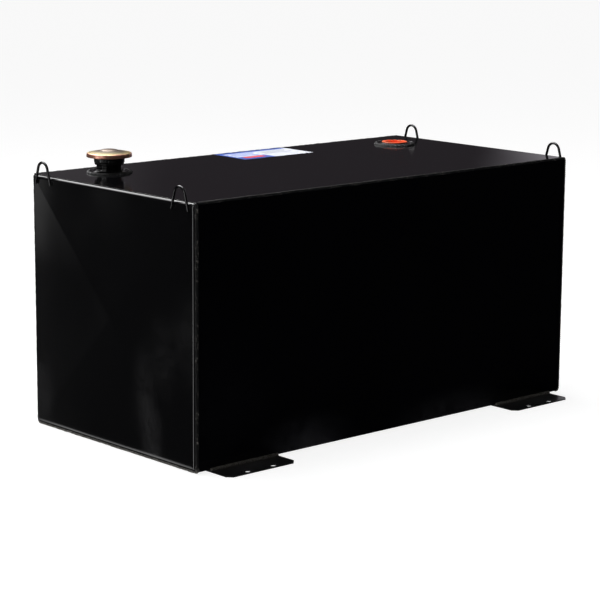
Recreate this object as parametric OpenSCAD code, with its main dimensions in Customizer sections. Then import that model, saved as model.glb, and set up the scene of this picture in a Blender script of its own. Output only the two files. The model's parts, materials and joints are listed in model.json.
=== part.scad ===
// Steel hydraulic reservoir: a welded sheet-metal tank on four foot plates, with four lifting
// loops, a breather filler cap over a strainer basket, and a plugged port.
// Origin: the middle of the base, on the surface that the feet stand on.
// X runs along the tank, -Y is the front and +Z is up.

/* [Tank] */
// Overall length, across the end panels' edges
tank_length = 1219.2; // [1000:1:1500]
// Depth, front wall to back wall
tank_depth = 609.6; // [500:1:700]
// Height, underside of the bottom to the top face
tank_height = 609.6; // [450:1:700]
// Thickness of the steel sheet
sheet = 1.9; // [1.5:0.1:3]
// Outside radius of the two bends along the bottom
wrap_bend = 8; // [5:0.5:8]

/* [End panels] */
// Distance that an end panel stands out past the wrap's edge
panel_proud = 6; // [3:0.5:7.5]
// Outside radius round an end panel's edge
panel_bend = 8; // [8:0.5:12]
// Depth of an end panel's flange
panel_flange = 32; // [20:1:50]
// Height of the cross crease at the panel's centre
crease_rise = 4; // [1:0.5:5.5]

/* [Baffles] */
// Distance from the tank's middle to each baffle
baffle_offset = 203.2; // [150:1:240]
// Diameter of the hole in a baffle's middle
baffle_hole = 114.3; // [80:0.1:120]
// Length cut off each corner of a baffle
baffle_clip = 63.5; // [40:0.5:90]
// Width of a baffle's welding flange
baffle_flange = 25.4; // [15:0.1:40]

/* [Feet] */
// Length of a foot plate, along the tank
foot_length = 203.2; // [150:0.1:260]
// Distance that a foot stands out past the wall
foot_reach = 68; // [60:0.1:100]
// Distance that a foot runs in under the tank
foot_tuck = 63.5; // [40:0.1:100]
// Thickness of a foot plate
foot_thickness = 3; // [2.5:0.1:6]
// Gap from the tank's end to the foot's end
foot_inset = 41.3; // [20:0.1:80]
// Cut across each outer corner of a foot
foot_chamfer = 13; // [8:1:30]
// Diameter of a bolt hole
foot_hole = 16; // [10:0.1:18]
// Distance between a foot's two holes
foot_hole_spacing = 76.2; // [60:0.1:100]
// Distance from the holes to the foot's outer edge
foot_hole_edge = 12; // [11:0.5:20]

/* [Lifting loops] */
// Diameter of the rod
loop_rod = 6.35; // [5:0.05:8]
// Radius of the top bend, at the rod's middle
loop_radius = 19; // [16:0.5:24]
// Height of a loop above the top panel
loop_height = 34; // [30:0.5:45]
// Length of leg below the top panel
loop_leg_drop = 21; // [18:0.5:30]
// Angle of each leg from upright
loop_splay = 16; // [8:0.5:20]
// Distance from the wall to a loop's middle
loop_inset = 48; // [40:0.5:80]

/* [Filler] */
// Distance from the left end to the filler's axis
filler_from_end = 152.4; // [120:0.1:200]
// Distance from the back wall to the filler's axis
filler_from_back = 101.6; // [80:0.1:160]
// Outside diameter of the neck pipe
neck_diameter = 60.3; // [58:0.1:61]
// Wall of the neck pipe
neck_wall = 3.9; // [3:0.1:4.2]
// Height of the neck's rim above the top panel
neck_height = 35; // [32:0.5:36]
// Length of the strainer basket
basket_length = 150; // [100:1:200]

/* [Filler cap] */
// Diameter of the cap
cap_diameter = 109; // [104:0.5:112]
// Height of the cap's rim
cap_rim_height = 10; // [9:0.5:12]
// Rise of the dome above the rim
cap_dome_rise = 6; // [5:0.5:8]
// Diameter of the raised middle of the dome
cap_crown_diameter = 40; // [30:0.5:44]
// Outside diameter of the black collar
collar_diameter = 73; // [73:0.5:78]
// Height of the collar
collar_height = 19; // [12:0.5:22]

/* [Port] */
// Distance from the right end to the port's axis
port_from_end = 149; // [120:0.5:200]
// Distance from the back wall to the port's axis
port_from_back = 137.5; // [100:0.5:180]
// Bore of the port
port_bore = 57.2; // [54:0.1:58]
// Diameter of the plug's head
plug_head_diameter = 67; // [64:0.5:72]

/* [Weld flanges] */
// Diameter of a weld flange
flange_diameter = 100; // [95:0.5:110]
// Thickness of a weld flange's rim
flange_rim = 3; // [2:0.5:4]

/* [Label] */
// Length of the label
label_length = 230; // [150:1:240]
// Width of the label
label_width = 122; // [80:1:140]
// Distance from the tank's middle to the label's middle, toward the port end
label_offset = 62; // [-150:1:150]
// Gap from the back wall to the label
label_from_back = 7; // [5:1:200]

/* [Hidden] */
$fn = 64;

paint = "#1c1b1e";
bare_steel = "#9a9ca0";
yellow_zinc = "#c9a24a";
black_plastic = "#0c0c0d";
black_rubber = "#202020";
filter_foam = "#b9a67c";
plug_red = "#e8452a";
label_white = "#e9ebef";

overcut = 1;

base_z = foot_thickness;
top_z = base_z + tank_height;
wrap_length = tank_length - 2 * panel_proud;
inner_depth = tank_depth - 2 * sheet;
inner_height = tank_height - 2 * sheet;

filler_x = filler_from_end - tank_length / 2;
filler_y = tank_depth / 2 - filler_from_back;
port_x = tank_length / 2 - port_from_end;
port_y = tank_depth / 2 - port_from_back;

loop_set = 0.15;

neck_r = neck_diameter / 2;
neck_bore_r = neck_r - neck_wall;
neck_lip = 3;
neck_rim_r = neck_r + neck_lip;
neck_rim = 2;
panel_hole_gap = 1;
panel_hole_r = neck_r + panel_hole_gap;

filler_hub_r = 36;
filler_hub_top = 10;
port_hub_r = 42;
port_hub_top = 6;

basket_gap = 1.2;
basket_r = neck_bore_r - basket_gap;
basket_wall = 0.8;
basket_lip_inset = 0.3;
basket_lip_r = neck_r - basket_lip_inset;
basket_lip = 1;
basket_rows = 6;
basket_slots = 8;
basket_slot_width = 3;
basket_slot_height = 14;
basket_slot_pitch = 18;
basket_slot_start = 10.8;

gasket = 2;
cap_base = neck_height + basket_lip + gasket;
plate = 1.2;
plate_hole_r = 2.5;
plate_holes = 8;
plate_hole_ring_r = 15.75;
collar_r = collar_diameter / 2;
collar_wall = 2.6;
shell = 1.2;
cap_r = cap_diameter / 2;
cap_shoulder = 3;
cap_crown_rise = 1.6;
element_gap = 6;
element_r = cap_r - element_gap;
element_bore_r = 21;
hem_gap = 0.2;

plug_head = 1.6;
plug_depth = 20;
plug_wall = 2;
plug_gap = 0.3;
plug_taper = 1.4;
label_thickness = 0.3;

// Radius of the circle whose arc has this half-chord and this rise
function arc_radius(half_chord, rise) = (half_chord * half_chord + rise * rise) / (2 * rise);

// Turns a shape drawn in X (across) and Y (up) so that it is extruded along the tank
module along_tank(length) {
    rotate([90, 0, 90]) linear_extrude(length, center = true) children();
}

module rounded_rect(w, h, r) {
    square([w - 2 * r, h], center = true);
    square([w, h - 2 * r], center = true);
    for (x = [-1, 1], y = [-1, 1]) {
        translate([x * (w / 2 - r), y * (h / 2 - r)]) circle(r);
    }
}

// U-shaped outline, round at its two lower corners, with its base on the X axis
module u_outline(w, h, r) {
    translate([-w / 2, r]) square([w, h - r]);
    translate([r - w / 2, 0]) square([w - 2 * r, h]);
    for (x = [-1, 1]) {
        translate([x * (w / 2 - r), r]) circle(r);
    }
}

module body_wrap() {
    color(paint)
    translate([0, 0, base_z])
    along_tank(wrap_length)
    difference() {
        u_outline(tank_depth, tank_height - sheet, wrap_bend);
        translate([0, sheet]) u_outline(inner_depth, tank_height, wrap_bend - sheet);
    }
}

module top_panel() {
    color(paint)
    difference() {
        translate([-wrap_length / 2, -tank_depth / 2, top_z - sheet])
        cube([wrap_length, tank_depth, sheet]);
        at_filler() hole(panel_hole_r);
        at_port() hole(panel_hole_r);
    }
}

module hole(r) {
    translate([0, 0, -sheet - overcut]) cylinder(r = r, h = sheet + 2 * overcut);
}

module at_filler() {
    translate([filler_x, filler_y, top_z]) children();
}

module at_port() {
    translate([port_x, port_y, top_z]) children();
}

// Slab from x = -d to x = 0, with its long edges and the edges of its outer face rounded
module rounded_slab(d, w, h, r) {
    translate([-(d + r) / 2, 0, 0]) along_tank(d - r) rounded_rect(w, h, r);
    translate([-r / 2, 0, 0]) cube([r, w - 2 * r, h - 2 * r], center = true);
    for (y = [-1, 1]) {
        translate([-r, y * (w / 2 - r), 0]) cylinder(r = r, h = h - 2 * r, center = true);
    }
    for (z = [-1, 1]) {
        translate([-r, 0, z * (h / 2 - r)]) rotate([90, 0, 0])
        cylinder(r = r, h = w - 2 * r, center = true);
    }
    for (y = [-1, 1], z = [-1, 1]) {
        translate([-r, y * (w / 2 - r), z * (h / 2 - r)]) sphere(r);
    }
}

// Low four-sided pyramid that points along +X, on a block that reaches back into the sheet
module crease_pyramid(w, h, rise, root) {
    polyhedron(
        points = [
            [-root, -w / 2, -h / 2], [-root, w / 2, -h / 2], [-root, w / 2, h / 2], [-root, -w / 2, h / 2],
            [0, -w / 2, -h / 2], [0, w / 2, -h / 2], [0, w / 2, h / 2], [0, -w / 2, h / 2],
            [rise, 0, 0]
        ],
        faces = [
            [0, 1, 2, 3], [0, 4, 5, 1], [1, 5, 6, 2], [2, 6, 7, 3], [3, 7, 4, 0],
            [4, 8, 5], [5, 8, 6], [6, 8, 7], [7, 8, 4]
        ]
    );
}

// Pan with its flange turned into the tank and a cross crease in its face
module end_panel() {
    crease_w = inner_depth - 2 * panel_bend;
    crease_h = inner_height - 2 * panel_bend;
    color(paint)
    translate([tank_length / 2, 0, base_z + tank_height / 2])
    difference() {
        union() {
            rounded_slab(panel_flange, inner_depth, inner_height, panel_bend);
            crease_pyramid(crease_w, crease_h, crease_rise, sheet / 2);
        }
        translate([-sheet, 0, 0]) {
            rounded_slab(panel_flange, inner_depth - 2 * sheet, inner_height - 2 * sheet, panel_bend - sheet);
            crease_pyramid(crease_w, crease_h, crease_rise, overcut);
        }
    }
}

module right_end_panel() {
    end_panel();
}

module left_end_panel() {
    mirror([1, 0, 0]) end_panel();
}

module baffle_outline(clip) {
    w = inner_depth / 2;
    h = inner_height / 2;
    polygon([
        [clip - w, -h], [w - clip, -h], [w, clip - h], [w, h - clip],
        [w - clip, h], [clip - w, h], [-w, h - clip], [-w, clip - h]
    ]);
}

// Sheet with clipped corners, a round hole and a welding flange along each side
module baffle() {
    color(bare_steel)
    translate([baffle_offset, 0, base_z + tank_height / 2]) {
        along_tank(sheet) difference() {
            baffle_outline(baffle_clip);
            circle(d = baffle_hole);
        }
        for (z = [-1, 1]) {
            translate([baffle_flange / 2, 0, z * (inner_height - sheet) / 2])
            cube([baffle_flange, inner_depth - 2 * baffle_clip, sheet], center = true);
        }
        for (y = [-1, 1]) {
            translate([baffle_flange / 2, y * (inner_depth - sheet) / 2, 0])
            cube([baffle_flange, sheet, inner_height - 2 * baffle_clip], center = true);
        }
    }
}

module right_baffle() {
    baffle();
}

module left_baffle() {
    mirror([1, 0, 0]) baffle();
}

// Foot plate of the front right corner
module foot() {
    end_x = tank_length / 2 - foot_inset;
    start_x = end_x - foot_length;
    edge_y = -tank_depth / 2 - foot_reach;
    root_y = foot_tuck - tank_depth / 2;
    color(paint)
    difference() {
        linear_extrude(foot_thickness) polygon([
            [start_x + foot_chamfer, edge_y], [end_x - foot_chamfer, edge_y],
            [end_x, edge_y + foot_chamfer], [end_x, root_y],
            [start_x, root_y], [start_x, edge_y + foot_chamfer]
        ]);
        for (side = [-1, 1]) {
            translate([(start_x + end_x + side * foot_hole_spacing) / 2, edge_y + foot_hole_edge, -overcut])
            cylinder(d = foot_hole, h = foot_thickness + 2 * overcut);
        }
    }
}

module front_right_foot() {
    foot();
}

module front_left_foot() {
    mirror([1, 0, 0]) foot();
}

module back_right_foot() {
    mirror([0, 1, 0]) foot();
}

module back_left_foot() {
    mirror([1, 0, 0]) mirror([0, 1, 0]) foot();
}

// Bent rod of the front right corner, standing on the end panel's outer face
module lifting_loop() {
    rod_r = loop_rod / 2;
    bend_z = loop_height - rod_r - loop_radius;
    leg_top_z = bend_z + loop_radius * sin(loop_splay);
    leg_length = (leg_top_z + loop_leg_drop) / cos(loop_splay);
    color(paint)
    translate([tank_length / 2 + rod_r, loop_inset - tank_depth / 2, top_z]) {
        translate([0, 0, bend_z]) rotate([90, 0, 90]) rotate([0, 0, loop_splay])
        rotate_extrude(angle = 180 - 2 * loop_splay) translate([loop_radius, 0]) circle(rod_r);
        for (side = [-1, 1]) {
            translate([0, side * loop_radius * cos(loop_splay), leg_top_z])
            rotate([180 + side * loop_splay, 0, 0]) {
                cylinder(r = rod_r, h = leg_length);
                sphere(rod_r + loop_set);
            }
        }
    }
}

module front_right_loop() {
    lifting_loop();
}

module front_left_loop() {
    mirror([1, 0, 0]) lifting_loop();
}

module back_right_loop() {
    mirror([0, 1, 0]) lifting_loop();
}

module back_left_loop() {
    mirror([1, 0, 0]) mirror([0, 1, 0]) lifting_loop();
}

// Ring with a thin rim, a sloping shoulder and a flat hub
module weld_flange(bore_r, hub_r, hub_top) {
    rim_r = flange_diameter / 2;
    shoulder = (hub_top - flange_rim) / 2;
    rotate_extrude() polygon([
        [bore_r, 0], [rim_r, 0], [rim_r, flange_rim],
        [hub_r, hub_top - shoulder], [hub_r, hub_top], [bore_r, hub_top]
    ]);
}

module filler_flange() {
    color(paint) at_filler() weld_flange(neck_r, filler_hub_r, filler_hub_top);
}

module port_flange() {
    color(paint) at_port() weld_flange(port_bore / 2, port_hub_r, port_hub_top);
}

module filler_neck() {
    color(paint) at_filler() rotate_extrude() polygon([
        [neck_bore_r, 0], [neck_r, 0], [neck_r, neck_height - neck_rim],
        [neck_rim_r, neck_height - neck_rim], [neck_rim_r, neck_height], [neck_bore_r, neck_height]
    ]);
}

// Slotted cup that hangs from a lip on the neck's rim
module strainer_basket() {
    lip_top = neck_height + basket_lip;
    bottom = lip_top - basket_length;
    inner_r = basket_r - basket_wall;
    color(bare_steel) at_filler()
    difference() {
        rotate_extrude() polygon([
            [0, bottom], [basket_r, bottom], [basket_r, neck_height], [basket_lip_r, neck_height],
            [basket_lip_r, lip_top], [inner_r, lip_top], [inner_r, bottom + basket_wall], [0, bottom + basket_wall]
        ]);
        for (row = [0 : basket_rows - 1], turn = [0 : basket_slots / 2 - 1]) {
            translate([0, 0, bottom + basket_slot_start + basket_slot_pitch * row])
            rotate([0, 0, 360 / basket_slots * (turn + row % 2 / 2)])
            cube([2 * neck_r, basket_slot_width, basket_slot_height], center = true);
        }
    }
}

module ring(outer_r, inner_r, h) {
    difference() {
        cylinder(r = outer_r, h = h);
        translate([0, 0, -overcut]) cylinder(r = inner_r, h = h + 2 * overcut);
    }
}

module cap_gasket() {
    color(black_rubber) at_filler()
    translate([0, 0, neck_height + basket_lip]) ring(neck_rim_r, neck_bore_r, gasket);
}

module cap_collar() {
    color(black_plastic) at_filler()
    translate([0, 0, cap_base + plate - collar_height]) ring(collar_r, collar_r - collar_wall, collar_height);
}

// Base plate of the cap, with a ring of air holes
module breather_plate() {
    color(bare_steel) at_filler()
    translate([0, 0, cap_base])
    difference() {
        cylinder(r = collar_r - collar_wall, h = plate);
        for (i = [0 : plate_holes - 1]) {
            rotate([0, 0, 360 / plate_holes * i]) translate([plate_hole_ring_r, 0, -overcut])
            cylinder(r = plate_hole_r, h = plate + 2 * overcut);
        }
    }
}

module breather_element() {
    color(filter_foam) at_filler()
    translate([0, 0, cap_base + plate]) ring(element_r, element_bore_r, cap_rim_height - shell - plate);
}

// Domed sheet with a raised crown, a rolled rim and a hem under the rim
module cap_shell() {
    rim_top = cap_base + plate + cap_rim_height - cap_shoulder;
    hem_z = cap_base + plate - shell;
    chord = cap_r - cap_shoulder;
    dome_r = arc_radius(chord, cap_dome_rise);
    crown_chord = cap_crown_diameter / 2;
    crown_base = rim_top + cap_shoulder + cap_dome_rise - (dome_r - sqrt(dome_r * dome_r - crown_chord * crown_chord));
    crown_total = rim_top + cap_shoulder + cap_dome_rise + cap_crown_rise - crown_base;
    crown_r = arc_radius(crown_chord, crown_total);
    color(yellow_zinc) at_filler()
    rotate_extrude() {
        intersection() {
            translate([0, rim_top + cap_shoulder + cap_dome_rise - dome_r]) arc_band(dome_r);
            translate([crown_chord, rim_top]) square([chord - crown_chord, cap_r]);
        }
        intersection() {
            translate([0, crown_base + crown_total - crown_r]) arc_band(crown_r);
            translate([0, crown_base - shell]) square([crown_chord, cap_r]);
        }
        intersection() {
            translate([chord, rim_top]) difference() {
                circle(cap_shoulder);
                circle(cap_shoulder - shell);
            }
            translate([chord, rim_top]) square(cap_shoulder);
        }
        translate([cap_r - shell, hem_z]) square([shell, rim_top - hem_z]);
        translate([collar_r + hem_gap, hem_z]) square([cap_r - collar_r - hem_gap, shell]);
    }
}

// Thin ring between two circles, whose outer one has this radius
module arc_band(r) {
    difference() {
        circle(r, $fn = 256);
        circle(r - shell, $fn = 256);
    }
}

// Hollow push-in plug with a flat head
module port_plug() {
    shank_r = port_bore / 2 - plug_gap;
    bottom = port_hub_top - plug_depth;
    top = port_hub_top + plug_head;
    color(plug_red) at_port()
    rotate_extrude() polygon([
        [0, bottom], [shank_r - plug_taper, bottom], [shank_r, port_hub_top],
        [plug_head_diameter / 2, port_hub_top], [plug_head_diameter / 2, top], [shank_r - plug_wall, top],
        [shank_r - plug_wall - plug_taper, bottom + plug_wall], [0, bottom + plug_wall]
    ]);
}

module label() {
    color(label_white)
    translate([label_offset, (tank_depth - label_width) / 2 - label_from_back, top_z + label_thickness / 2])
    cube([label_length, label_width, label_thickness], center = true);
}

body_wrap();
top_panel();
left_end_panel();
right_end_panel();
left_baffle();
right_baffle();
front_left_foot();
front_right_foot();
back_left_foot();
back_right_foot();
front_left_loop();
front_right_loop();
back_left_loop();
back_right_loop();
filler_flange();
filler_neck();
strainer_basket();
cap_gasket();
cap_collar();
breather_plate();
breather_element();
cap_shell();
port_flange();
port_plug();
label();
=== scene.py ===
"""Looks of the steel reservoir: weld beads, filler and port fittings, label, materials, light and camera."""

import json
import math

import bpy
from mathutils import Matrix, Vector, noise


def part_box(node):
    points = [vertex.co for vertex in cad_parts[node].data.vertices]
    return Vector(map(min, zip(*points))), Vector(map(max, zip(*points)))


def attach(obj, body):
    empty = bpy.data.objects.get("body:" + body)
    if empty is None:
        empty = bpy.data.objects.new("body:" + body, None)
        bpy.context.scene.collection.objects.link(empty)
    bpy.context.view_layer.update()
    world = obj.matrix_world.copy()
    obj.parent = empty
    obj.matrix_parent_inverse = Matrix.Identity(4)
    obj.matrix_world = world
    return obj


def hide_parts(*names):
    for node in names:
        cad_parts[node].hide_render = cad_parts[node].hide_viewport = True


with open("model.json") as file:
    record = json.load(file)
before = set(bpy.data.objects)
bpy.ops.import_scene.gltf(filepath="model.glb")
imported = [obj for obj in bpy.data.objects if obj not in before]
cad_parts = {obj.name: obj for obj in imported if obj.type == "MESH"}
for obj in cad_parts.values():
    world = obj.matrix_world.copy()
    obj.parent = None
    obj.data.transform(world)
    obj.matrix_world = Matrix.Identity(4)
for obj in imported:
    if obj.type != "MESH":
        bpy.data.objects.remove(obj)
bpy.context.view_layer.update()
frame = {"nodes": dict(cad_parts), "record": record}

MM = 0.001
UP = Vector((0, 0, 1))

# ---------------------------------------------------------------- places, from the frame

wrap_low, wrap_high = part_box("body_wrap")
neck_low, neck_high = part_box("filler_neck")
cap_low, cap_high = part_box("cap_shell")
collar_low, collar_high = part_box("cap_collar")
port_low, port_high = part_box("port_flange")
plug_low, plug_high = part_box("port_plug")
filler_flange_low, filler_flange_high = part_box("filler_flange")
basket_low, basket_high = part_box("strainer_basket")
label_low, label_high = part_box("label")

WALL_Y = wrap_high.y
WRAP_END_X = wrap_high.x
TANK_BASE_Z = wrap_low.z
TANK_TOP_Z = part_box("top_panel")[1].z

ENDS = ((-1, "left"), (1, "right"))
SIDES = ((-1, "front"), (1, "back"))
CORNERS = [(sign_x, sign_y, f"{side}_{end}") for sign_x, end in ENDS for sign_y, side in SIDES]


def axis_on_top(low, high):
    """Where the upright axis of the box from low to high meets the top panel."""
    return Vector(((low.x + high.x) / 2, (low.y + high.y) / 2, TANK_TOP_Z))


def radius_of(low, high):
    """Half the width of a box along X."""
    return (high.x - low.x) / 2


def heights(low, high):
    """Both heights of a box above the top panel."""
    return low.z - TANK_TOP_Z, high.z - TANK_TOP_Z


filler = axis_on_top(neck_low, neck_high)
port = axis_on_top(port_low, port_high)


# ---------------------------------------------------------------- node materials

class Nodes:
    """Short calls that add nodes to a tree and link them."""

    def __init__(self, tree):
        self.tree = tree

    def node(self, kind, **inputs):
        made = self.tree.nodes.new(kind)
        for key, value in inputs.items():
            self.feed(made.inputs[key.replace("_", " ")], value)
        return made

    def feed(self, socket, value):
        if isinstance(value, bpy.types.NodeSocket):
            self.tree.links.new(value, socket)
        else:
            socket.default_value = value

    def math(self, operation, a, b=0.0):
        made = self.tree.nodes.new("ShaderNodeMath")
        made.operation = operation
        self.feed(made.inputs[0], a)
        self.feed(made.inputs[1], b)
        return made.outputs[0]

    def fade(self, value, start, end, curve="LINEAR", low=0.0, high=1.0):
        """Runs from low to high while value runs from start to end."""
        made = self.node("ShaderNodeMapRange", Value=value, From_Min=start, From_Max=end,
                         To_Min=low, To_Max=high)
        made.interpolation_type = curve
        return made.outputs["Result"]

    def ramp(self, value, *stops):
        """Colour ramp through (position, colour) stops; a plain number is a grey."""
        made = self.node("ShaderNodeValToRGB", Fac=value)
        elements = made.color_ramp.elements
        while len(elements) < len(stops):
            elements.new(0.5)
        for element, (position, color) in zip(elements, stops):
            element.position = position
            element.color = (*color, 1) if isinstance(color, tuple) else (color, color, color, 1)
        return made.outputs["Color"]


class Shader(Nodes):
    """A material with a Principled shader, and the calls that drive it."""

    def __init__(self, name, color, roughness, metallic=0.0, **sockets):
        self.material = bpy.data.materials.new(name)
        self.material.use_nodes = True
        super().__init__(self.material.node_tree)
        self.bsdf = self.tree.nodes["Principled BSDF"]
        self.bsdf.inputs["Base Color"].default_value = (*color, 1)
        self.bsdf.inputs["Roughness"].default_value = roughness
        self.bsdf.inputs["Metallic"].default_value = metallic
        for socket, value in sockets.items():
            self.bsdf.inputs[socket.replace("_", " ")].default_value = value
        self.place = self.tree.nodes.new("ShaderNodeTexCoord").outputs["Object"]

    def stretched(self, scale):
        """Object coordinates scaled by an (x, y, z) vector."""
        return self.node("ShaderNodeMapping", Vector=self.place, Scale=scale).outputs["Vector"]

    def noise(self, scale, detail=2.0, rough=0.5, distortion=0.0, place=None):
        made = self.node("ShaderNodeTexNoise", Vector=place or self.place, Scale=scale, Detail=detail,
                         Roughness=rough, Distortion=distortion)
        return made.outputs["Fac"]

    def cells(self, scale):
        return self.node("ShaderNodeTexVoronoi", Vector=self.place, Scale=scale).outputs["Distance"]

    def mix(self, factor, a, b):
        made = self.tree.nodes.new("ShaderNodeMix")
        made.data_type = "RGBA"
        self.feed(made.inputs[0], factor)
        for socket, value in ((made.inputs[6], a), (made.inputs[7], b)):
            self.feed(socket, (*value, 1) if isinstance(value, tuple) else value)
        return made.outputs[2]

    def color(self, value):
        self.feed(self.bsdf.inputs["Base Color"], value)

    def roughness(self, value, low, high):
        self.feed(self.bsdf.inputs["Roughness"], self.fade(value, 0.0, 1.0, low=low, high=high))

    def bump(self, *layers):
        """Stacked bumps, each (height output, depth in metres)."""
        normal = None
        for height, depth in layers:
            made = self.node("ShaderNodeBump", Height=height, Distance=depth)
            if normal is not None:
                self.feed(made.inputs["Normal"], normal)
            normal = made.outputs["Normal"]
        self.feed(self.bsdf.inputs["Normal"], normal)


DUST = (0.09, 0.088, 0.085)


def black_paint(name, waviness, base=(0.0013, 0.0013, 0.0016), low=0.07, high=0.13, glow_spots=()):
    """Black powder coat with orange peel, dust, a thin sheet's slow waves and lighter spots of painted
    reflection.

    waviness is the depth of the slow waves, and low and high are the ends of the roughness.
    """
    paint = Shader(name, base, low, Specular_IOR_Level=0.5)
    cloud = paint.noise(3.0, detail=3.0, rough=0.6)
    tone = paint.mix(cloud, base, tuple(1.5 * c for c in base))
    # Lighter spots of painted reflection are laid over the tone where any are given
    if glow_spots:
        tone = painted_glows(paint, tone, glow_spots)
    dust = paint.ramp(paint.noise(260.0, rough=0.7), (0.66, 0.0), (0.74, 1.0))
    dusty_areas = paint.ramp(paint.noise(5.0), (0.45, 0.0), (0.75, 0.35))
    paint.color(paint.mix(paint.math("MULTIPLY", dust, dusty_areas), tone, DUST))
    paint.roughness(paint.noise(14.0, detail=4.0, rough=0.65), low, high)
    waves = paint.noise(3.2, detail=1.0, rough=0.3)
    peel = paint.noise(320.0)
    grain = paint.noise(900.0, detail=1.0)
    paint.bump((waves, waviness), (peel, 0.008 * MM), (grain, 0.002 * MM))
    return paint.material


def painted_glows(paint, tone, glow_spots):
    """Lays ragged spots of painted reflection over a tone.

    Each spot is (centre, stretch, radius, colour). The distance from its centre is measured after both are
    scaled by stretch, so a stretch under 1 makes the spot longer along that axis.
    """
    ragged = paint.ramp(paint.noise(22.0, detail=5.0, rough=0.7, distortion=0.6), (0.36, 0.25), (0.64, 1.0))
    speckle = paint.ramp(paint.noise(420.0, rough=0.6), (0.35, 0.7), (0.7, 1.0))
    # film is the ragged, speckled mask of the painted reflection spots
    film = paint.math("MULTIPLY", ragged, speckle)
    for centre, stretch, radius, color in glow_spots:
        away = paint.node("ShaderNodeVectorMath", Vector=paint.stretched(stretch))
        away.operation = "DISTANCE"
        away.inputs[1].default_value = tuple(c * k for c, k in zip(centre, stretch))
        spot = paint.fade(away.outputs["Value"], radius, 0.0, "SMOOTHERSTEP")
        tone = paint.mix(paint.math("MULTIPLY", spot, film), tone, color)
    return tone


# Heights above the floor where a weld's painted floor glints begin and where they are thickest
FLOOR_GLINTS_FROM_Z = 16 * MM
FLOOR_GLINTS_FULL_Z = 6 * MM


def weld_paint(name, tone, glints_from=0.55, glint_color=(0.13, 0.124, 0.112)):
    """The same coat over a weld: uneven and dull, with light flecks in places, painted glints, and more near
    the floor, painted reflection of the floor.
    """
    paint = Shader(name, tone, 0.5, Specular_IOR_Level=0.2)
    grit = paint.noise(210.0, detail=3.0, rough=0.75)
    glint_flecks = paint.ramp(grit, (glints_from, 0.0), (glints_from + 0.1, 1.0))
    glinting_areas = paint.ramp(paint.noise(38.0), (0.42, 0.0), (0.58, 1.0))
    glint_specks = paint.math("MULTIPLY", glint_flecks, glinting_areas)
    height = paint.node("ShaderNodeSeparateXYZ", Vector=paint.place).outputs["Z"]
    near_floor = paint.fade(height, FLOOR_GLINTS_FROM_Z, FLOOR_GLINTS_FULL_Z)
    floor_glints = paint.math("MULTIPLY", near_floor, paint.ramp(grit, (0.4, 0.15), (0.56, 1.0)))
    # Light flecks mixed into the colour are painted glints, with more near the floor as painted reflection of
    # it
    paint.color(paint.mix(paint.math("MAXIMUM", glint_specks, floor_glints), tone, glint_color))
    paint.roughness(paint.noise(220.0, detail=3.0), 0.34, 0.75)
    paint.bump((paint.noise(420.0, detail=3.0, rough=0.6), 0.9 * MM), (paint.cells(700.0), 0.3 * MM))
    return paint.material


def bare_steel():
    steel = Shader("bare_steel", (0.5, 0.5, 0.51), 0.35, metallic=1.0)
    brushed = steel.noise(90.0, detail=4.0, rough=0.6, place=steel.stretched((1, 1, 14)))
    mottle = steel.noise(9.0, detail=4.0)
    steel.color(steel.ramp(mottle, (0.3, (0.36, 0.36, 0.37)), (0.7, (0.58, 0.58, 0.6))))
    steel.roughness(brushed, 0.28, 0.55)
    steel.bump((brushed, 0.03 * MM))
    return steel.material


# Colours of the cap from the dome's axis at 0 to its rim at 1, and how far they drift to and fro: the
# chromate film's yellow tint with painted reflections, a lighter crown, a dark band, a bright golden lower
# band and a bright pinkish rim
ZINC_TINTS_AND_REFLECTIONS = (
    (0.0, (0.19, 0.145, 0.135)), (0.34, (0.18, 0.14, 0.125)), (0.44, (0.13, 0.105, 0.10)),
    (0.62, (0.17, 0.145, 0.10)), (0.82, (0.4, 0.33, 0.17)), (0.93, (0.6, 0.45, 0.2)),
    (0.985, (0.72, 0.36, 0.3)), (1.0, (0.6, 0.27, 0.2)))
TINT_DRIFT = 0.35
ZINC_STAIN = (0.34, 0.25, 0.12)


def yellow_zinc():
    """Zinc plate with a yellow chromate film; its colour from the crown to the rim holds the film's tint and
    painted reflections.
    """
    zinc = Shader("yellow_zinc", (0.6, 0.42, 0.18), 0.25, metallic=0.8)
    from_axis = zinc.node("ShaderNodeVectorMath", Vector=zinc.place)
    from_axis.operation = "SUBTRACT"
    from_axis.inputs[1].default_value = (filler.x, filler.y, 0)
    split = zinc.node("ShaderNodeSeparateXYZ", Vector=from_axis.outputs[0])
    flat = zinc.node("ShaderNodeCombineXYZ", X=split.outputs["X"], Y=split.outputs["Y"])
    radius = zinc.node("ShaderNodeVectorMath", Vector=flat.outputs[0])
    radius.operation = "LENGTH"
    share = zinc.math("MULTIPLY", radius.outputs["Value"], 1 / radius_of(cap_low, cap_high))
    drift = zinc.math("SUBTRACT", zinc.noise(24.0, detail=2.5, rough=0.55, distortion=0.7), 0.5)
    # film is the chromate tint with painted reflections: lighter crown, dark band, bright lower band and rim
    film = zinc.ramp(zinc.math("ADD", share, zinc.math("MULTIPLY", drift, TINT_DRIFT)), *ZINC_TINTS_AND_REFLECTIONS)
    stained = zinc.ramp(zinc.noise(150.0, detail=3.0, rough=0.6), (0.35, 0.0), (0.8, 0.45))
    zinc.color(zinc.mix(stained, film, ZINC_STAIN))
    zinc.roughness(zinc.noise(60.0, detail=3.0), 0.26, 0.42)
    zinc.bump((zinc.noise(45.0), 0.1 * MM), (zinc.noise(900.0), 0.01 * MM))
    return zinc.material


def black_plastic():
    plastic = Shader("black_plastic", (0.006, 0.006, 0.006), 0.2)
    plastic.color(plastic.ramp(plastic.noise(40.0, detail=3.0), (0.3, 0.004), (0.8, 0.011)))
    plastic.roughness(plastic.noise(70.0, detail=4.0), 0.14, 0.3)
    plastic.bump((plastic.noise(1500.0), 0.01 * MM))
    return plastic.material


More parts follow.
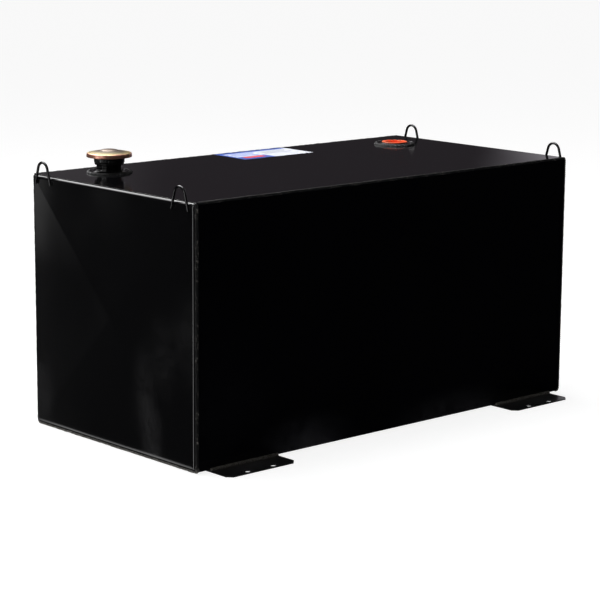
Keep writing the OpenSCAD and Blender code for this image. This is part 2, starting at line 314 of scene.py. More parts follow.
def rubber():
    made = Shader("gasket_rubber", (0.02, 0.02, 0.02), 0.75)
    made.color(made.ramp(made.noise(120.0, detail=4.0), (0.3, 0.012), (0.75, 0.035)))
    made.roughness(made.noise(200.0, detail=3.0), 0.6, 0.85)
    made.bump((made.noise(1200.0, detail=3.0), 0.04 * MM))
    return made.material


def foam():
    made = Shader("filter_foam", (0.5, 0.42, 0.27), 0.9)
    pores = made.cells(800.0)
    # Darker at the pore centres, where the bump sinks: painted shade in the pores
    made.color(made.ramp(pores, (0.1, (0.16, 0.12, 0.07)), (0.5, (0.55, 0.46, 0.3))))
    made.roughness(pores, 0.8, 0.95)
    made.bump((pores, 0.6 * MM))
    return made.material


def red_plastic():
    made = Shader("red_plastic", (0.9, 0.12, 0.035), 0.45, Subsurface_Weight=0.2, Subsurface_Scale=3 * MM)
    made.color(made.ramp(made.noise(22.0, detail=3.0), (0.3, (0.88, 0.11, 0.03)), (0.7, (0.98, 0.17, 0.06))))
    made.roughness(made.noise(110.0, detail=4.0), 0.3, 0.48)
    made.bump((made.noise(900.0), 0.02 * MM))
    return made.material


def printed_film(name, color):
    """Printed label film with faint blotches in its ink."""
    film = Shader(name, color, 0.5, Specular_IOR_Level=0.25)
    faded = tuple(0.86 * c + 0.02 for c in color)
    film.color(film.mix(film.noise(70.0, detail=4.0, rough=0.7), color, faded))
    film.roughness(film.noise(160.0, detail=3.0), 0.42, 0.6)
    film.bump((film.noise(240.0), 0.03 * MM))
    return film.material


# Painted reflections on the wrap, lighter spots as (centre, stretch, radius, colour): three on the front wall
# and one on the back wall
WRAP_GLOW_SPOTS = [
    ((-0.29, -0.305, 0.0), (0.8, 1, 1.5), 0.17, (0.017, 0.017, 0.019)),
    ((0.21, -0.305, 0.0), (0.45, 1, 1.3), 0.12, (0.011, 0.011, 0.012)),
    ((-0.52, -0.305, 0.1), (0.7, 1, 0.5), 0.15, (0.0022, 0.0022, 0.003)),
    ((0.34, 0.305, 0.05), (1, 1, 1.5), 0.2, (0.009, 0.009, 0.010))]

# Painted reflections that both end panels have, lighter spots as ((y, z), stretch, radius, grey)
END_GLOW_X = 0.61
END_GLOW_SPOTS = [
    # low near the back edge
    ((0.275, 0.08), (1, 0.5), 0.07, 0.02),
    # streak that bends down toward the front edge
    ((-0.122, 0.16), (1, 0.42), 0.065, 0.016), ((-0.15, 0.06), (1, 0.5), 0.055, 0.03),
    # glow by the front edge
    ((-0.19, 0.25), (1, 0.6), 0.09, 0.01), ((-0.28, 0.3), (1, 0.6), 0.09, 0.011)]

# One painted highlight spot in the middle of each foot
FOOT_GLOW_X, FOOT_GLOW_Y, FOOT_GLOW_Z = 0.467, 0.335, 0.003

# Copies of one black coat whose bases differ as painted light and shade: darker on the wrap, painted shade,
# and lighter on the end panels and lighter still on the feet, painted light
PANEL_PAINT = black_paint("panel_paint", 4 * MM)
WRAP_PAINT = black_paint("wrap_paint", 6 * MM, base=(0.0006, 0.0006, 0.0009), glow_spots=WRAP_GLOW_SPOTS)
PART_PAINT = black_paint("part_paint", 0.2 * MM)
END_PAINT = black_paint("end_paint", 5 * MM, base=(0.0024, 0.0024, 0.0026), glow_spots=[
    ((sign * END_GLOW_X, y, z), (1, *stretch), radius, (grey, grey, 1.03 * grey))
    for sign, _ in ENDS for (y, z), stretch, radius, grey in END_GLOW_SPOTS])
FOOT_PAINT = black_paint("foot_paint", 0.4 * MM, base=(0.008, 0.008, 0.0085), low=0.2, high=0.42, glow_spots=[
    ((sign_x * FOOT_GLOW_X, sign_y * FOOT_GLOW_Y, FOOT_GLOW_Z), (0.4, 1, 1), 0.045, (0.05, 0.05, 0.052))
    for sign_x, sign_y, _ in CORNERS])
# Copies of the weld coat: the flange welds' darker tone is painted shade and their brighter flecks painted
# glints; the foot welds' lighter, warmer tone is a painted highlight
WELD_PAINT = weld_paint("weld_paint", (0.003, 0.003, 0.0034))
FLANGE_WELD_PAINT = weld_paint("flange_weld_paint", (0.002, 0.002, 0.0022), glints_from=0.54,
                               glint_color=(0.26, 0.26, 0.27))
FOOT_WELD_PAINT = weld_paint("foot_weld_paint", (0.03, 0.027, 0.021))
STEEL = bare_steel()
ZINC = yellow_zinc()
BLACK_PLASTIC = black_plastic()
RED_PLASTIC = red_plastic()

SLOT_MATERIALS = {
    "black_paint": PART_PAINT, "bare_steel": STEEL, "gasket_rubber": rubber(), "black_plastic": BLACK_PLASTIC,
    "filter_foam": foam(), "yellow_zinc": ZINC, "red_plastic": RED_PLASTIC,
    "label_film": printed_film("label_back", (0.8, 0.82, 0.86)),
}
PAINT_BY_ENDING = {
    "body_wrap": WRAP_PAINT, "top_panel": PANEL_PAINT, "end_panel": END_PAINT, "foot": FOOT_PAINT,
}


def paint_cad_nodes():
    """Gives each CAD node the paint for the end of its name, or else its slot's material."""
    for part in frame["record"]["subparts"]:
        paints = [paint for ending, paint in PAINT_BY_ENDING.items() if part["node"].endswith(ending)]
        cad = frame["nodes"][part["node"]]
        cad.data.materials.clear()
        cad.data.materials.append(paints[0] if paints else SLOT_MATERIALS[part["material_slot"]])


# ---------------------------------------------------------------- mesh tools

def add_object(name, data):
    made = bpy.data.objects.new(name, data)
    bpy.context.scene.collection.objects.link(made)
    return made


def make_piece(name, vertices, faces, material, body, slot, sharp_deg=None):
    mesh = bpy.data.meshes.new(name)
    mesh.from_pydata([tuple(v) for v in vertices], [], faces)
    mesh.validate()
    mesh.polygons.foreach_set("use_smooth", [True] * len(mesh.polygons))
    if sharp_deg:
        mesh.set_sharp_from_angle(angle=math.radians(sharp_deg))
    mesh.materials.append(material)
    piece = add_object(name, mesh)
    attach(piece, body)
    return piece


def polar(radius, angle, z=0.0):
    """Point at a radius and an angle about the upright axis."""
    return Vector((radius * math.cos(angle), radius * math.sin(angle), z))


def box_mesh(low, high):
    """Corners and faces of an upright box."""
    ring = ((low.x, low.y), (high.x, low.y), (high.x, high.y), (low.x, high.y))
    corners = [Vector((x, y, z)) for z in (low.z, high.z) for x, y in ring]
    return corners, [(3, 2, 1, 0), (4, 5, 6, 7), (0, 1, 5, 4), (1, 2, 6, 5), (2, 3, 7, 6), (3, 0, 4, 7)]


def rounded_profile(points, steps=4):
    """Profile through (radius, height, corner radius) points, its corners turned into arcs."""
    outline = []
    count = len(points)
    for i, (r, z, fillet) in enumerate(points):
        here = Vector((r, z))
        if fillet <= 0 or i in (0, count - 1):
            outline.append(here)
            continue
        before = Vector(points[i - 1][:2]) - here
        after = Vector(points[i + 1][:2]) - here
        reach = min(fillet, before.length * 0.49, after.length * 0.49)
        start = here + before.normalized() * reach
        end = here + after.normalized() * reach
        for k in range(steps + 1):
            t = k / steps
            outline.append(start * (1 - t) ** 2 + here * 2 * t * (1 - t) + end * t ** 2)
    return outline


def lathe(name, centre, profile, material, body, slot, segments=128, sharp_deg=40, shape=None):
    """Turns a closed or axis-to-axis profile of (r, z) about an upright axis through centre.

    shape(r, z, angle), where given, returns the radius and height that replace r and z at that angle.
    """
    vertices, faces, rings = [], [], []
    for r, z in profile:
        if r < 1e-6:
            rings.append([len(vertices)])
            vertices.append(centre + Vector((0, 0, z)))
            continue
        ring = []
        for k in range(segments):
            angle = math.tau * k / segments
            radius, height = shape(r, z, angle) if shape else (r, z)
            ring.append(len(vertices))
            vertices.append(centre + polar(radius, angle, height))
        rings.append(ring)
    pairs = list(zip(rings, rings[1:]))
    if len(rings[0]) > 1 and len(rings[-1]) > 1:
        pairs.append((rings[-1], rings[0]))
    for lower, upper in pairs:
        for k in range(segments):
            j = (k + 1) % segments
            if len(lower) == 1:
                faces.append((lower[0], upper[j], upper[k]))
            elif len(upper) == 1:
                faces.append((lower[k], lower[j], upper[0]))
            else:
                faces.append((lower[k], lower[j], upper[j], upper[k]))
    return make_piece(name, vertices, faces, material, body, slot, sharp_deg)


# ---------------------------------------------------------------- weld beads

BEAD_SIDES = 12
BEAD_STEP = 1.2 * MM
# How much a bead's place, girth and lumps change, as shares of its size, and how fast, per metre
WANDER, SWELL, LUMP = 0.2, 0.22, 0.12
WANDER_RATE, SWELL_RATE, LUMP_RATE = 28, 70, 400


def weld_bead(name, path, closed, half_width, height, pitch, seed, material=WELD_PAINT):
    """Rippled bead along path, whose entries are (point, outward, sideways, size)."""
    vertices, faces = [], []
    travelled = 0.0
    for i, (point, out, side, size) in enumerate(path):
        if i:
            travelled += (point - path[i - 1][0]).length
        wander = noise.noise(Vector((travelled * WANDER_RATE, seed, 0.3)))
        swell = size * (1 + SWELL * noise.noise(Vector((travelled * SWELL_RATE, seed, 7.1))))
        centre = point + side * wander * half_width * WANDER
        for k in range(BEAD_SIDES):
            angle = math.tau * k / BEAD_SIDES
            across = math.sin(angle)
            # ripples bend back at the bead's sides, and its underside has none
            phase = (travelled / pitch + 0.45 * across * across + 0.4 * wander) % 1
            ripple = 0.85 + 0.5 * (1 - phase) * (1 if math.cos(angle) > -0.2 else 0)
            lump = 1 + LUMP * noise.noise(Vector((travelled * LUMP_RATE, across * 2, seed)))
            vertices.append(
                centre + out * math.cos(angle) * height * ripple * swell * lump
                + side * across * half_width * (0.94 + 0.06 * ripple) * swell)
    rings = len(path)
    for i in range(rings if closed else rings - 1):
        for k in range(BEAD_SIDES):
            j = (k + 1) % BEAD_SIDES
            a, b = i * BEAD_SIDES, (i + 1) % rings * BEAD_SIDES
            faces.append((a + k, b + k, b + j, a + j))
    if not closed:
        faces.append(tuple(range(BEAD_SIDES)))
        faces.append(tuple(reversed(range((rings - 1) * BEAD_SIDES, rings * BEAD_SIDES))))
    return make_piece(name, vertices, faces, material, "tank", "black_paint")


def straight_path(start, end, out, side):
    count = max(2, round((end - start).length / BEAD_STEP))
    return [(start.lerp(end, i / count), out, side, 1.0) for i in range(count + 1)]


def circle_path(centre, radius):
    """Path round a circle; the bead leans out from the axis and up."""
    count = round(math.tau * radius / BEAD_STEP)
    path = []
    for i in range(count):
        radial = polar(1, math.tau * i / count)
        path.append((centre + radial * radius, (radial + UP).normalized(), (radial - UP).normalized(), 1.0))
    return path


def end_path(sign):
    """Path round one end of the wrap; sign is -1 for the left end.

    The bead is thin along the top and stout along the bottom.
    """
    high_y = WALL_Y - 1.2 * MM
    low_z, high_z = TANK_BASE_Z + 2.6 * MM, TANK_TOP_Z - 1.3 * MM
    corner = 6 * MM
    arc_steps = 6
    thinner, stouter = 0.75, 0.35
    outline = []
    quarters = ((high_y, high_z, 0), (-high_y, high_z, 90), (-high_y, low_z, 180), (high_y, low_z, 270))
    for y, z, first_deg in quarters:
        middle = Vector((y - math.copysign(corner, y), z + (corner if z == low_z else -corner)))
        for k in range(arc_steps + 1):
            angle = math.radians(first_deg + 90 * k / arc_steps)
            outline.append(middle + corner * polar(1, angle).to_2d())
    path = []
    end_side = Vector((sign, 0, 0))
    for a, b in zip(outline, outline[1:] + outline[:1]):
        count = max(1, round((b - a).length / BEAD_STEP))
        along = (b - a).normalized()
        outward = Vector((0, along.y, -along.x))
        out, side = (outward + end_side).normalized(), (outward - end_side).normalized()
        size = 1 - thinner * max(outward.z, 0) ** 4 + stouter * max(-outward.z, 0) ** 4
        for k in range(count):
            spot = a.lerp(b, k / count)
            path.append((Vector((sign * (WRAP_END_X + 0.3 * MM), spot.x, spot.y)), out, side, size))
    return path


def wall_directions(sign):
    """Outward and sideways of a bead where a wall meets a level sheet; sign is -1 for the front wall."""
    return Vector((0, sign, 1)).normalized(), Vector((0, sign, -1)).normalized()


def make_seam_welds():
    for sign, name in ENDS:
        weld_bead(name + "_end_weld", end_path(sign), True, half_width=4.0 * MM, height=2.2 * MM,
                  pitch=5.2 * MM, seed=11.0 + sign)
    end_x = WRAP_END_X - 3 * MM
    for sign, name in SIDES:
        start = Vector((-end_x, sign * (WALL_Y - 1.9 * MM), TANK_TOP_Z - 2.2 * MM))
        end = Vector((end_x, start.y, start.z))
        weld_bead(name + "_top_weld", straight_path(start, end, *wall_directions(sign)), False,
                  half_width=3.4 * MM, height=2.3 * MM, pitch=4.6 * MM, seed=21.0 + sign)


def make_foot_welds():
    for sign_x, sign_y, corner in CORNERS:
        name = corner + "_foot"
        low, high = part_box(name)
        y, z = sign_y * (WALL_Y + 0.6 * MM), high.z + 2.4 * MM
        start, end = Vector((low.x + 2 * MM, y, z)), Vector((high.x - 2 * MM, y, z))
        weld_bead(name + "_weld", straight_path(start, end, *wall_directions(sign_y)), False,
                  half_width=5.8 * MM, height=3.0 * MM, pitch=6.0 * MM, seed=31.0 + 3 * sign_x + sign_y,
                  material=FOOT_WELD_PAINT)


LOOP_SPLAY = math.radians(16)
# From a loop's side to the middle of the weld on its leg
LEG_INSET = 3.6 * MM
LOOP_WELD_LENGTH = 10 * MM


def make_loop_welds():
    """One bead up each leg of the lifting loops."""
    face_x = panel_face_x()
    for sign_x, sign_y, corner in CORNERS:
        name = corner + "_loop"
        low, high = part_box(name)
        out = Vector((sign_x, 0, 0))
        for leg, letter in ((-1, "a"), (1, "b")):
            foot_y = high.y - LEG_INSET if leg > 0 else low.y + LEG_INSET
            foot = Vector((sign_x * face_x, foot_y, low.z + 1.5 * MM))
            lean = Vector((0, -leg * math.sin(LOOP_SPLAY), math.cos(LOOP_SPLAY)))
            side = out.cross(lean).normalized()
            path = straight_path(foot, foot + lean * LOOP_WELD_LENGTH, out, side)
            weld_bead(f"{name}_weld_{letter}", path, False, half_width=4.4 * MM, height=1.6 * MM,
                      pitch=3.6 * MM, seed=41.0 + leg + 3 * sign_x + 5 * sign_y + (low.y + high.y) / 2)


def panel_face_x():
    """Where the end panels' flat edge band lies: the loops stand on it."""
    low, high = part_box("front_right_loop")
    return low.x + 0.15 * MM


def make_flange_welds():
    for centre, low, high, name, seed in (
            (filler, filler_flange_low, filler_flange_high, "filler_flange", 51.0),
            (port, port_low, port_high, "port_flange", 57.0)):
        path = circle_path(centre + UP * 0.8 * MM, radius_of(low, high) + 1.5 * MM)
        weld_bead(name + "_weld", path, True, half_width=5.4 * MM, height=2.8 * MM, pitch=5.0 * MM, seed=seed,
                  material=FLANGE_WELD_PAINT)


# ---------------------------------------------------------------- filler fittings

# The hubs and the neck start this far above the top panel
GAP = 0.2 * MM
THREAD_RIDGES = 3
COLLAR_FLUTES = 30


def make_filler():
    neck_r = 30.15 * MM
    bore = 26.25 * MM
    hub_r, hub_top = 36 * MM, 10 * MM
    flange_r = radius_of(filler_flange_low, filler_flange_high)
    lathe("filler_hub", filler, rounded_profile([
        (neck_r - 0.2 * MM, GAP, 0), (flange_r, GAP, 0), (flange_r, 3 * MM, 1 * MM),
        (hub_r, 6.5 * MM, 1.5 * MM), (hub_r, hub_top, 1 * MM), (neck_r + 1.5 * MM, hub_top, 0.5 * MM),
        (neck_r - 0.2 * MM, 9.2 * MM, 0)]), PART_PAINT, "tank", "black_paint")
    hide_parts("filler_flange")
    top = heights(neck_low, neck_high)[1]
    lip_r = 33.1 * MM
    first_ridge, ridge_pitch, ridge = 13 * MM, 4 * MM, 1.3 * MM
    profile = [(bore, GAP, 0), (neck_r, GAP, 0)]
    for k in range(THREAD_RIDGES):
        z = first_ridge + ridge_pitch * k
        profile += [(neck_r, z, 0.6 * MM), (neck_r + ridge, z + ridge, 0.6 * MM),
                    (neck_r, z + 2 * ridge, 0.6 * MM)]
    profile += [(neck_r, top - 2.4 * MM, 0.6 * MM), (lip_r, top - 2 * MM, 0.5 * MM),
                (lip_r, top, 0.5 * MM), (bore, top, 0.5 * MM)]
    lathe("neck_pipe", filler, rounded_profile(profile), PART_PAINT, "tank", "black_paint")
    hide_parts("filler_neck")


def make_collar():
    outer = radius_of(collar_low, collar_high)
    inner = outer - 2.6 * MM
    flute_depth = 0.9 * MM
    low, high = heights(collar_low, collar_high)
    grip_low, grip_high = low + 7 * MM, high - 3 * MM

    def fluted(r, z, angle):
        depth = flute_depth if r > inner + flute_depth and grip_low < z < grip_high else 0
        return r - depth * max(0.0, math.cos(COLLAR_FLUTES * angle)) ** 0.6, z

    profile = rounded_profile([
        (inner, low, 0.3 * MM), (inner + 1.1 * MM, low, 0.4 * MM), (inner + 1.4 * MM, low + 4 * MM, 1 * MM),
        (outer, low + 6.5 * MM, 1.2 * MM), (outer, low + 8 * MM, 0), (outer, high - 3.4 * MM, 0),
        (outer, high - 2.4 * MM, 0), (outer, high, 0.3 * MM), (inner, high, 0.3 * MM)])
    piece = lathe("collar_grip", filler, profile, BLACK_PLASTIC, "cap", "black_plastic",
                  segments=240, sharp_deg=35, shape=fluted)
    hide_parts("cap_collar")


def make_cap_dome():
    """Stamped dome: a rolled rim, a hem below it, a slight step and a raised crown."""
    base, peak = heights(cap_low, cap_high)
    rim = radius_of(cap_low, cap_high)
    inner = radius_of(collar_low, collar_high) + 0.3 * MM
    crown = 20 * MM
    sheet = 1.2 * MM
    step = 0.9 * MM
    dome_top = peak - 1.6 * MM
    rim_z = base + 8.4 * MM
    hem_z = base + 0.9 * MM
    slope = rim - 6 * MM - crown
    crown_steps, slope_steps = 8, 14

    def dome_height(r):
        t = min(r / (rim - 1.5 * MM), 1.0)
        return dome_top - (dome_top - rim_z - 1.2 * MM) * t ** 1.6

    def crown_height(r):
        t = r / crown
        return peak - (peak - dome_height(crown) - step) * t ** 2.4

    def arc(radii, height_at):
        return [(r, height_at(r), 0) for r in radii]

    profile = arc((crown * k / crown_steps for k in range(crown_steps)), crown_height)
    profile += [(crown, dome_height(crown) + step * 0.9, 0.5 * MM),
                (crown + 1.6 * MM, dome_height(crown + 1.6 * MM), 1 * MM)]
    profile += arc((crown + slope * k / slope_steps for k in range(1, slope_steps + 1)), dome_height)
    profile += [
        (rim - 0.8 * MM, rim_z + 1.2 * MM, 2.6 * MM), (rim, base + 1.6 * MM, 0.4 * MM),
        (rim - 0.5 * MM, base, 0.9 * MM), (rim - 3.5 * MM, base, 0.6 * MM), (rim - 4.2 * MM, hem_z, 0.5 * MM),
        (inner, hem_z, 0), (inner, hem_z + sheet * 0.5, 0), (rim - sheet, hem_z + sheet * 0.5, 0),
        (rim - 2 * sheet, rim_z - 0.5 * MM, 1 * MM), (crown, dome_height(crown) - 1.5 * sheet, 0),
        (0, peak - 1.5 * sheet, 0)]
    piece = lathe("cap_dome", filler, rounded_profile(profile, steps=6), ZINC, "cap", "yellow_zinc",
                  segments=192, sharp_deg=50)
    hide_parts("cap_shell")


def make_strainer():
    """Woven screen cup with a pressed lip and foot."""
    radius = 25 * MM
    low, high = heights(basket_low, basket_high)
    screen_height = high - 6 * MM - low
    around, up = 64, 80
    vertices, faces = [], []
    for k in range(up + 1):
        for j in range(around):
            angle = math.tau * (j + 0.5 * (k % 2)) / around
            vertices.append(filler + polar(radius, angle, low + screen_height * k / up))
    for k in range(up):
        for j in range(around):
            a, b = k * around + j, k * around + (j + 1) % around
            faces.append((a, b, b + around, a + around))
    screen = make_piece("strainer_screen", vertices, faces, STEEL, "tank", "bare_steel")
    wires = screen.modifiers.new("wires", "WIREFRAME")
    wires.thickness = 0.55 * MM
    wires.use_even_offset = False
    lip_r, lip_bore, lip_skirt = 29.8 * MM, 24.4 * MM, 25.2 * MM
    skirt_z = high - 9 * MM
    lathe("strainer_lip", filler, rounded_profile([
        (lip_r, high - 1 * MM, 0.2 * MM), (lip_r, high, 0.4 * MM), (lip_bore, high, 0.8 * MM),
        (lip_bore, skirt_z, 0), (lip_skirt, skirt_z, 0), (lip_skirt, high - 1 * MM, 0.3 * MM)]),
        STEEL, "tank", "bare_steel")
    foot_r, foot_bore = radius + 0.3 * MM, radius - 0.5 * MM
    foot_top, foot_floor = low + 7 * MM, low + 0.8 * MM
    lathe("strainer_foot", filler, rounded_profile([
        (0, low, 0), (foot_r, low, 1 * MM), (foot_r, foot_top, 0), (foot_bore, foot_top, 0),
        (foot_bore, foot_floor, 0.8 * MM), (0, foot_floor, 0)]), STEEL, "tank", "bare_steel")
    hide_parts("strainer_basket")


# ---------------------------------------------------------------- port fittings

PLUG_SPOKES = 6


def make_port():
    bore = 28.6 * MM
    flange_r = radius_of(port_low, port_high)
    land_r, land_top = 42 * MM, 6 * MM
    piece = lathe("port_hub", port, rounded_profile([
        (bore, GAP, 0), (flange_r, GAP, 0), (flange_r, 3 * MM, 1 * MM), (land_r, 4.5 * MM, 1.5 * MM),
        (land_r, land_top, 0.8 * MM), (bore + 1 * MM, land_top, 0.3 * MM), (bore, 5.2 * MM, 0)]),
        PART_PAINT, "tank", "black_paint")
    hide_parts("port_flange")
    head = radius_of(plug_low, plug_high)
    low, top = heights(plug_low, plug_high)
    shank = bore - 0.3 * MM
    cup_floor = low + 2 * MM
    plug = lathe("plug_cup", port, rounded_profile([
        (0, low, 0), (shank - 1.4 * MM, low, 1.6 * MM), (shank, land_top, 0.2 * MM),
        (head, land_top, 0.5 * MM), (head, top, 0.9 * MM), (shank - 2 * MM, top, 0.8 * MM),
        (shank - 3.4 * MM, cup_floor, 1.5 * MM), (0, cup_floor, 0)]), RED_PLASTIC, "plug", "red_plastic")
    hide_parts("port_plug")
    vertices, faces = [], []
    corners, sides = box_mesh(Vector((3 * MM, -0.7 * MM, low + 1.8 * MM)),
                              Vector((shank - 3 * MM, 0.7 * MM, low + 8 * MM)))
    for k in range(PLUG_SPOKES):
        spin = Matrix.Rotation(math.tau * k / PLUG_SPOKES, 3, "Z")
        faces += [tuple(len(vertices) + i for i in side) for side in sides]
        vertices += [port + spin @ corner for corner in corners]
    make_piece("plug_ribs", vertices, faces, RED_PLASTIC, "plug", "red_plastic", sharp_deg=30)


# ---------------------------------------------------------------- label

LABEL_INKS = {
    "white": (0.7, 0.73, 0.8), "blue": (0.025, 0.08, 0.4), "red": (0.8, 0.06, 0.04),
    "pale": (0.1, 0.18, 0.6), "grey": (0.34, 0.36, 0.42),
}
# Printed fields: (ink, left, right, back, front) as shares of the label's length and width
LABEL_FIELDS = [
    ("white", 0.0, 1.0, 0.0, 1.0),
    ("blue", 0.0, 0.97, 0.0, 0.15), ("blue", 0.0, 0.44, 0.6, 1.0), ("blue", 0.0, 0.05, 0.15, 0.6),
    ("pale", 0.07, 0.46, 0.21, 0.27), ("pale", 0.07, 0.4, 0.34, 0.4), ("pale", 0.07, 0.43, 0.47, 0.53),
    ("white", 0.03, 0.42, 0.62, 0.66), ("red", 0.09, 0.37, 0.7, 0.86),
    ("grey", 0.5, 0.9, 0.26, 0.3), ("grey", 0.5, 0.84, 0.38, 0.42), ("grey", 0.5, 0.88, 0.5, 0.54),
]
# Gap under the film, and how much higher each field is than the one before
FILM_GAP = 0.02 * MM
INK_LIFT = 0.02 * MM


def make_label():
    """Film with its printed fields as very thin raised patches, one above the other."""
    inks = {ink: printed_film("label_" + ink, color) for ink, color in LABEL_INKS.items()}
    length, width = label_high.x - label_low.x, label_high.y - label_low.y
    backing = None
    for i, (ink, left, right, back, front) in enumerate(LABEL_FIELDS):
        low = Vector((label_low.x + left * length, label_high.y - front * width, label_low.z + FILM_GAP))
        high = Vector((label_low.x + right * length, label_high.y - back * width,
                       label_high.z - 0.1 * MM + INK_LIFT * i))
        piece = make_piece(f"label_field_{i:02d}", *box_mesh(low, high), inks[ink], "tank", "label_film",
                           sharp_deg=30)
        backing = backing or piece
    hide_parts("label")


# ---------------------------------------------------------------- stage, light and camera

def square_mesh(name, reach):
    mesh = bpy.data.meshes.new(name)
    corners = [(-reach, -reach, 0), (reach, -reach, 0), (reach, reach, 0), (-reach, reach, 0)]
    mesh.from_pydata(corners, [], [(0, 1, 2, 3)])
    return mesh


def make_floor():
    """Pale floor that glows a little, so that it stays nearly white; reflections do not show it."""
    floor = square_mesh("floor", 40.0)
    shader = Shader("floor_white", (0.3, 0.3, 0.3), 0.8, Specular_IOR_Level=0.0)
    shader.bsdf.inputs["Emission Color"].default_value = (1, 1, 1, 1)
    shader.bsdf.inputs["Emission Strength"].default_value = 0.86
    floor.materials.append(shader.material)
    piece = add_object("floor", floor)
    piece.visible_glossy = False


def make_backdrop():
    """White dome that only the camera sees."""
    mesh = bpy.data.meshes.new("backdrop")
    radius, rings, segments = 60.0, 12, 32
    vertices, faces = [], []
    for i in range(rings + 1):
        lift = math.radians(90) * i / rings
        height = radius * math.sin(lift) - 1
        vertices += [polar(radius * math.cos(lift), math.tau * k / segments, height) for k in range(segments)]
    for i in range(rings):
        for k in range(segments):
            j = (k + 1) % segments
            faces.append((i * segments + k, i * segments + j, (i + 1) * segments + j, (i + 1) * segments + k))
    mesh.from_pydata([tuple(v) for v in vertices], [], faces)
    place_glow("backdrop", mesh, 1.0, camera=True)


# Share of a soft card's half size, from its middle, that glows at full strength
FULL_GLOW = 0.35


def place_glow(name, mesh, strength, color=(1, 1, 1), camera=False, soft=False):
    """Glowing sheet, seen either by the camera or by reflections.

    A soft one spans -1 to 1, fades toward its edges and lets what is behind it through.
    """
    material = bpy.data.materials.new(name)
    material.use_nodes = True
    nodes = Nodes(material.node_tree)
    nodes.tree.nodes.clear()
    glow = nodes.node("ShaderNodeEmission", Color=(*color, 1), Strength=strength)
    surface = glow
    if soft:
        place = nodes.node("ShaderNodeTexCoord").outputs["Object"]
        split = nodes.node("ShaderNodeSeparateXYZ", Vector=place)
        fades = [nodes.fade(nodes.math("ABSOLUTE", split.outputs[axis]), 1.0, FULL_GLOW, "SMOOTHSTEP")
                 for axis in ("X", "Y")]
        share = nodes.math("MULTIPLY", *fades)
        nodes.feed(glow.inputs["Strength"], nodes.math("MULTIPLY", share, strength))
        surface = nodes.node("ShaderNodeAddShader")
        nodes.feed(surface.inputs[0], glow.outputs[0])
        nodes.feed(surface.inputs[1], nodes.node("ShaderNodeBsdfTransparent").outputs[0])
    nodes.node("ShaderNodeOutputMaterial", Surface=surface.outputs[0])
    mesh.materials.append(material)
    card = add_object(name, mesh)
    card.visible_camera = camera
    card.visible_glossy = not camera
    card.visible_diffuse = False
    card.visible_shadow = False
    card.visible_transmission = False
    return card


def floor_card(name, middle, half_size, strength):
    """Soft glow just over the floor, seen only in reflections."""
    card = place_glow(name, square_mesh(name, 1), strength, soft=True)
    card.location = (*middle, 0.5 * MM)
    card.scale = (*half_size, 1)


# The point that the soft cards and lights face
AIM = Vector((0, 0, 0.3))


def soft_card(name, turn_deg, lift_deg, distance, size_deg, strength, color=(1, 1, 1)):
    """Soft card for reflections, placed by its bearing (0 is +Y, 90 is +X) and height seen from the tank."""
    card = place_glow(name, square_mesh(name, 1), strength, color, soft=True)
    turn, lift = math.radians(turn_deg), math.radians(lift_deg)
    away = Vector((math.sin(turn) * math.cos(lift), math.cos(turn) * math.cos(lift), math.sin(lift)))
    level = Vector((math.cos(turn), -math.sin(turn), 0))
    half_w, half_h = (distance * math.tan(math.radians(size / 2)) for size in size_deg)
    axes = Matrix((level * half_w, level.cross(away) * half_h, -away)).transposed().to_4x4()
    card.matrix_world = Matrix.Translation(away * distance + AIM) @ axes


def make_light(name, place, size, power):
    data = bpy.data.lights.new(name, "AREA")
    data.shape = "RECTANGLE"
    data.size, data.size_y = size
    data.energy = power
    light = add_object(name, data)
    light.location = place
    light.rotation_mode = "QUATERNION"
    light.rotation_quaternion = (AIM - Vector(place)).to_track_quat("-Z", "Y")


# The surroundings that reflections show, from the horizon to straight up
SKY_STOPS = (
    (0.0, (0.006, 0.006, 0.007)), (0.04, (0.025, 0.0215, 0.0245)), (0.3, (0.05, 0.043, 0.05)),
    (0.6, (0.4, 0.39, 0.4)), (1.0, (0.8, 0.8, 0.8)))
# The sky's strength rises from this share, in front of the tank, to all of it, behind the tank, while the
# direction's Y runs from -SKY_TURN to SKY_TURN
FRONT_SKY = 0.2
SKY_TURN = 0.35


def make_world():
    """Studio surroundings: bright overhead, and dim in front of the tank."""
    world = bpy.data.worlds.new("studio")
    world.use_nodes = True
    nodes = Nodes(world.node_tree)
    background = nodes.tree.nodes["Background"]
    direction = nodes.node("ShaderNodeTexCoord").outputs["Generated"]
    split = nodes.node("ShaderNodeSeparateXYZ", Vector=direction)
    strength = nodes.fade(split.outputs["Y"], -SKY_TURN, SKY_TURN, low=FRONT_SKY)
    nodes.feed(background.inputs["Color"], nodes.ramp(split.outputs["Z"], *SKY_STOPS))
    nodes.feed(background.inputs["Strength"], strength)
    bpy.context.scene.world = world


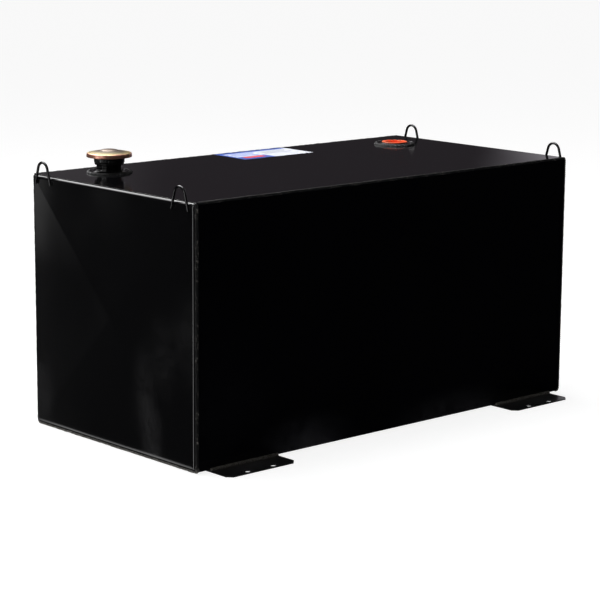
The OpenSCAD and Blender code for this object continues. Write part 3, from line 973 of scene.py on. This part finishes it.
def make_camera():
    data = bpy.data.cameras.new("camera")
    data.lens = 129.5
    data.sensor_width = 36
    data.clip_end = 200
    camera = add_object("camera", data)
    yaw, pitch, roll = math.radians(42.06), math.radians(11.17), math.radians(0.37)
    ahead = Vector((math.sin(yaw) * math.cos(pitch), math.cos(yaw) * math.cos(pitch), -math.sin(pitch)))
    level = Vector((math.cos(yaw), -math.sin(yaw), 0))
    up = level.cross(ahead)
    right = level * math.cos(roll) + up * math.sin(roll)
    up = up * math.cos(roll) - level * math.sin(roll)
    turn = Matrix((right, up, -ahead)).transposed()
    camera.location = (-3.5442, -3.9002, 1.3149)
    camera.rotation_mode = "QUATERNION"
    camera.rotation_quaternion = turn.to_quaternion()
    bpy.context.scene.camera = camera


def make_studio():
    bpy.context.scene.view_settings.view_transform = "Standard"
    make_world()
    make_floor()
    make_backdrop()
    soft_card("high_card", turn_deg=-8, lift_deg=44, distance=5.0, size_deg=(70, 32), strength=5.5)
    soft_card("left_card", turn_deg=-78, lift_deg=-8, distance=5.0, size_deg=(18, 60), strength=4.5)
    soft_card("end_card", turn_deg=-30.3, lift_deg=-6.2, distance=30.0, size_deg=(13.4, 7.8), strength=0.5)
    soft_card("end_low_card", turn_deg=-30.3, lift_deg=-13, distance=30.0, size_deg=(14.4, 22),
              strength=0.045)
    floor_card("end_floor_card", middle=(-0.632, 0.0), half_size=(0.012, 0.5), strength=1.8)
    soft_card("right_card", turn_deg=64.5, lift_deg=8, distance=6.0, size_deg=(28, 26), strength=0.75,
              color=(1.0, 0.95, 1.03))
    soft_card("top_card", turn_deg=33, lift_deg=8, distance=30.0, size_deg=(10, 14), strength=0.045,
              color=(1.0, 0.95, 1.0))
    make_light("softbox", place=(-0.4, 1.2, 3.6), size=(3.0, 3.0), power=170)
    make_light("left_fill", place=(-3.6, -0.6, 1.5), size=(1.4, 1.8), power=12)
    make_camera()


paint_cad_nodes()
make_seam_welds()
make_foot_welds()
make_loop_welds()
make_flange_welds()
make_filler()
make_collar()
make_cap_dome()
make_strainer()
make_port()
make_label()
make_studio()
